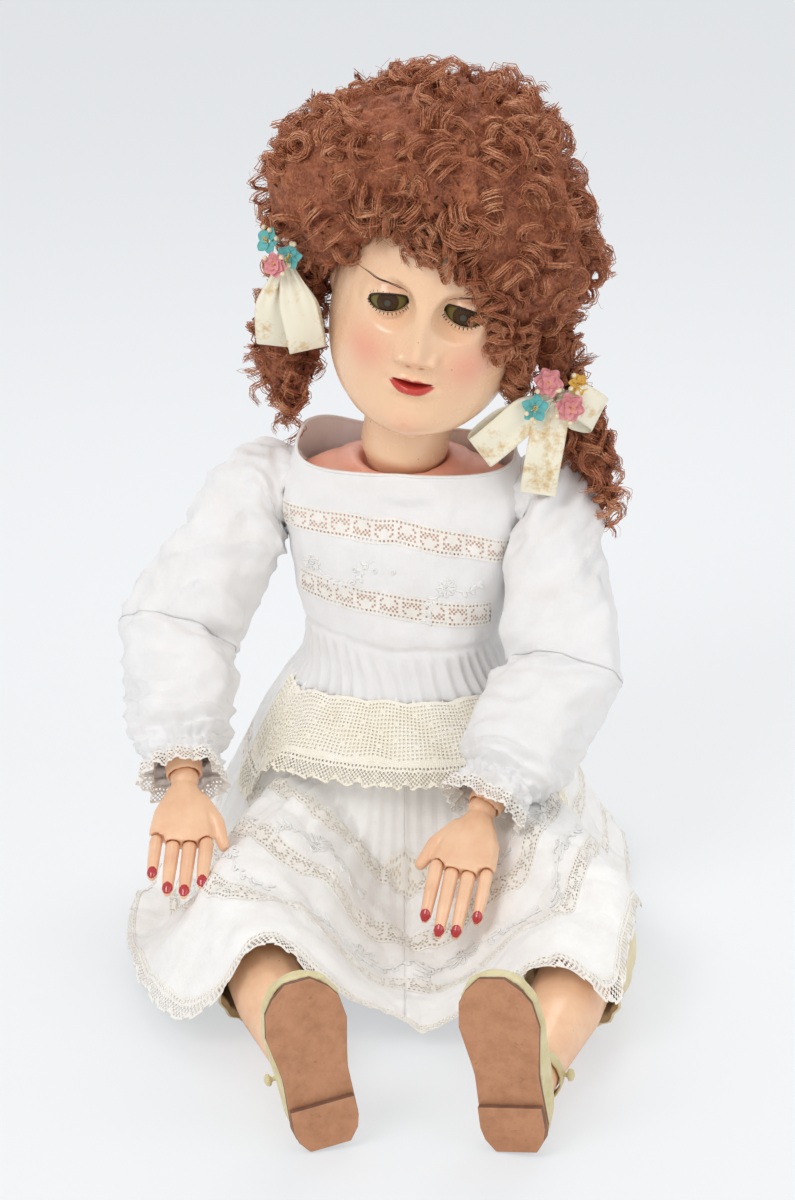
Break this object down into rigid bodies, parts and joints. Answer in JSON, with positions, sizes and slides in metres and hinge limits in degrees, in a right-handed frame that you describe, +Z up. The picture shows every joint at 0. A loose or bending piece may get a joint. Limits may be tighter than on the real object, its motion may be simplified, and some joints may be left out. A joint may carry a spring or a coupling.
{
  "type": "french doll",
  "caption": "Seated ball-jointed child doll with curly mohair wig, open mouth and sleeping eyes, in a lace-trimmed batiste dress, net apron and leather shoes.",
  "frame": {"origin": "on the floor under the middle of the doll's torso, on the flat seat it sits on", "axes": "+Z up, the doll faces -Y with its soles towards -Y, and its own left side is +X"},
  "size_m": [0.3475, 0.5756, 0.5552],
  "materials": {
    "body_composition": "painted and varnished pulp composition",
    "head_composition": "painted and varnished pulp composition",
    "limb_composition": "painted and varnished pulp composition",
    "turned_wood": "turned, oiled",
    "elastic_cord": "cotton-covered",
    "steel_wire": "drawn wire",
    "lead_weight": "cast, dull",
    "cork": "cork",
    "eye_glass": "blown glass, polished",
    "tooth_porcelain": "glazed porcelain",
    "mohair": "curled mohair",
    "satin_ribbon": "silk satin, stained with age",
    "cloth_flowers": "dyed cotton petals",
    "white_batiste": "sheer cotton batiste with lace insertion",
    "dotted_net": "cotton net",
    "cream_cotton": "plain weave cotton",
    "cream_leather": "smooth, cracked with age",
    "sole_leather": "scuffed"
  },
  "bodies": {
    "torso": {"torso_shell": "body_composition", "arm_elastic": "elastic_cord", "leg_elastic": "elastic_cord", "dress_bodice": "white_batiste", "skirt_back": "white_batiste", "apron": "dotted_net", "skirt_panel_R": "white_batiste", "skirt_panel_L": "white_batiste"},
    "neck": {"neck_button": "turned_wood", "neck_hook": "steel_wire"},
    "head": {"head_shell": "head_composition", "crown_pate": "cork", "upper_teeth": "tooth_porcelain", "wig": "mohair", "pigtail_R": "mohair", "pigtail_L": "mohair", "ribbon_R": "satin_ribbon", "ribbon_L": "satin_ribbon", "flowers_R": "cloth_flowers", "flowers_L": "cloth_flowers"},
    "eyes": {"eye_rocker": "steel_wire", "eye_weight": "lead_weight", "eye_R": "eye_glass", "eye_L": "eye_glass"},
    "upper_arm_R": {"upper_arm_R": "limb_composition", "elbow_ball_R": "turned_wood", "sleeve_upper_R": "white_batiste"},
    "forearm_R": {"forearm_R": "limb_composition", "sleeve_lower_R": "white_batiste"},
    "hand_R": {"hand_R": "limb_composition"},
    "index_finger_R": {"index_finger_R": "limb_composition"},
    "middle_finger_R": {"middle_finger_R": "limb_composition"},
    "ring_finger_R": {"ring_finger_R": "limb_composition"},
    "little_finger_R": {"little_finger_R": "limb_composition"},
    "upper_leg_R": {"upper_leg_R": "limb_composition", "knee_ball_R": "turned_wood", "drawers_R": "cream_cotton"},
    "lower_leg_R": {"lower_leg_R": "limb_composition", "shoe_upper_R": "cream_leather", "shoe_sole_R": "sole_leather", "shoe_heel_R": "sole_leather", "shoe_strap_R": "cream_leather"},
    "upper_arm_L": {"upper_arm_L": "limb_composition", "elbow_ball_L": "turned_wood", "sleeve_upper_L": "white_batiste"},
    "forearm_L": {"forearm_L": "limb_composition", "sleeve_lower_L": "white_batiste"},
    "hand_L": {"hand_L": "limb_composition"},
    "index_finger_L": {"index_finger_L": "limb_composition"},
    "middle_finger_L": {"middle_finger_L": "limb_composition"},
    "ring_finger_L": {"ring_finger_L": "limb_composition"},
    "little_finger_L": {"little_finger_L": "limb_composition"},
    "upper_leg_L": {"upper_leg_L": "limb_composition", "knee_ball_L": "turned_wood", "drawers_L": "cream_cotton"},
    "lower_leg_L": {"lower_leg_L": "limb_composition", "shoe_upper_L": "cream_leather", "shoe_sole_L": "sole_leather", "shoe_heel_L": "sole_leather", "shoe_strap_L": "cream_leather"}
  },
  "joints": [
    {"name": "head_turn", "type": "hinge", "parent": "torso", "child": "neck", "pos_m": [0.00444, -0.00396, 0.3], "axis": [0, 0, 1], "range_deg": [-24, 12]},
    {"name": "head_nod", "type": "hinge", "parent": "neck", "child": "head", "pos_m": [0.00444, -0.00396, 0.3], "axis": [0.9903, -0.1392, 0], "range_deg": [-15, 8]},
    {"name": "eye_sleep", "type": "hinge", "parent": "head", "child": "eyes", "pos_m": [0.01911, -0.07862, 0.41736], "axis": [0.9805, -0.0858, -0.1771], "range_deg": [0, 60]},
    {"name": "shoulder_swing_R", "type": "hinge", "parent": "torso", "child": "upper_arm_R", "pos_m": [-0.08908, 0.01322, 0.264], "axis": [-0.9903, 0.1392, 0], "range_deg": [0, 60], "deforming": ["sleeve_upper_R", "dress_bodice"]},
    {"name": "elbow_bend_R", "type": "hinge", "parent": "upper_arm_R", "child": "forearm_R", "pos_m": [-0.15003, -0.03234, 0.17381], "axis": [-0.5678, -0.5136, 0.6432], "range_deg": [0, 41], "deforming": ["sleeve_lower_R"]},
    {"name": "wrist_turn_R", "type": "hinge", "parent": "forearm_R", "child": "hand_R", "pos_m": [-0.1391, -0.12551, 0.10905], "axis": [-0.0958, 0.8174, 0.5681], "range_deg": [-20, 20]},
    {"name": "index_finger_bend_R", "type": "hinge", "parent": "hand_R", "child": "index_finger_R", "pos_m": [-0.1229, -0.16745, 0.08182], "axis": [0.9994, -0.0337, -0.009], "range_deg": [-20, 15]},
    {"name": "middle_finger_bend_R", "type": "hinge", "parent": "hand_R", "child": "middle_finger_R", "pos_m": [-0.1337, -0.16955, 0.08046], "axis": [0.9994, -0.0337, -0.009], "range_deg": [-20, 15]},
    {"name": "ring_finger_bend_R", "type": "hinge", "parent": "hand_R", "child": "ring_finger_R", "pos_m": [-0.1445, -0.16913, 0.08073], "axis": [0.9994, -0.0337, -0.009], "range_deg": [-20, 15]},
    {"name": "little_finger_bend_R", "type": "hinge", "parent": "hand_R", "child": "little_finger_R", "pos_m": [-0.1553, -0.16535, 0.08318], "axis": [0.9994, -0.0337, -0.009], "range_deg": [-20, 15]},
    {"name": "hip_swing_R", "type": "hinge", "parent": "torso", "child": "upper_leg_R", "pos_m": [-0.04222, -0.00548, 0.045], "axis": [0.9903, -0.1392, 0], "range_deg": [0, 85], "deforming": ["skirt_panel_R", "apron", "skirt_back"]},
    {"name": "knee_bend_R", "type": "hinge", "parent": "upper_leg_R", "child": "lower_leg_R", "pos_m": [-0.09727, -0.20387, 0.03807], "axis": [0.9668, 0.2547, 0.0198], "range_deg": [0, 70], "deforming": ["drawers_R"]},
    {"name": "shoulder_swing_L", "type": "hinge", "parent": "torso", "child": "upper_arm_L", "pos_m": [0.09907, -0.01322, 0.264], "axis": [-0.9903, 0.1392, 0], "range_deg": [0, 35], "deforming": ["sleeve_upper_L"]},
    {"name": "elbow_bend_L", "type": "hinge", "parent": "upper_arm_L", "child": "forearm_L", "pos_m": [0.11059, -0.07194, 0.1623], "axis": [-0.4379, 0.7562, -0.4862], "range_deg": [0, 47], "deforming": ["sleeve_lower_L"]},
    {"name": "wrist_turn_L", "type": "hinge", "parent": "forearm_L", "child": "hand_L", "pos_m": [0.0548, -0.14651, 0.09655], "axis": [0.4894, 0.6541, 0.5767], "range_deg": [-20, 20]},
    {"name": "index_finger_bend_L", "type": "hinge", "parent": "hand_L", "child": "index_finger_L", "pos_m": [0.02484, -0.18273, 0.07303], "axis": [0.9781, -0.1638, -0.128], "range_deg": [-20, 15]},
    {"name": "middle_finger_bend_L", "type": "hinge", "parent": "hand_L", "child": "middle_finger_L", "pos_m": [0.03446, -0.18735, 0.07003], "axis": [0.9781, -0.1638, -0.128], "range_deg": [-20, 15]},
    {"name": "ring_finger_bend_L", "type": "hinge", "parent": "hand_L", "child": "ring_finger_L", "pos_m": [0.04494, -0.18957, 0.06859], "axis": [0.9781, -0.1638, -0.128], "range_deg": [-20, 15]},
    {"name": "little_finger_bend_L", "type": "hinge", "parent": "hand_L", "child": "little_finger_L", "pos_m": [0.05658, -0.18858, 0.06924], "axis": [0.9781, -0.1638, -0.128], "range_deg": [-20, 15]},
    {"name": "hip_swing_L", "type": "hinge", "parent": "torso", "child": "upper_leg_L", "pos_m": [0.04888, -0.01828, 0.045], "axis": [0.9903, -0.1392, 0], "range_deg": [0, 85], "deforming": ["skirt_panel_L"]},
    {"name": "knee_bend_L", "type": "hinge", "parent": "upper_leg_L", "child": "lower_leg_L", "pos_m": [0.12605, -0.20917, 0.03833], "axis": [0.9613, -0.2747, -0.0226], "range_deg": [0, 70], "deforming": ["drawers_L"]}
  ]
}
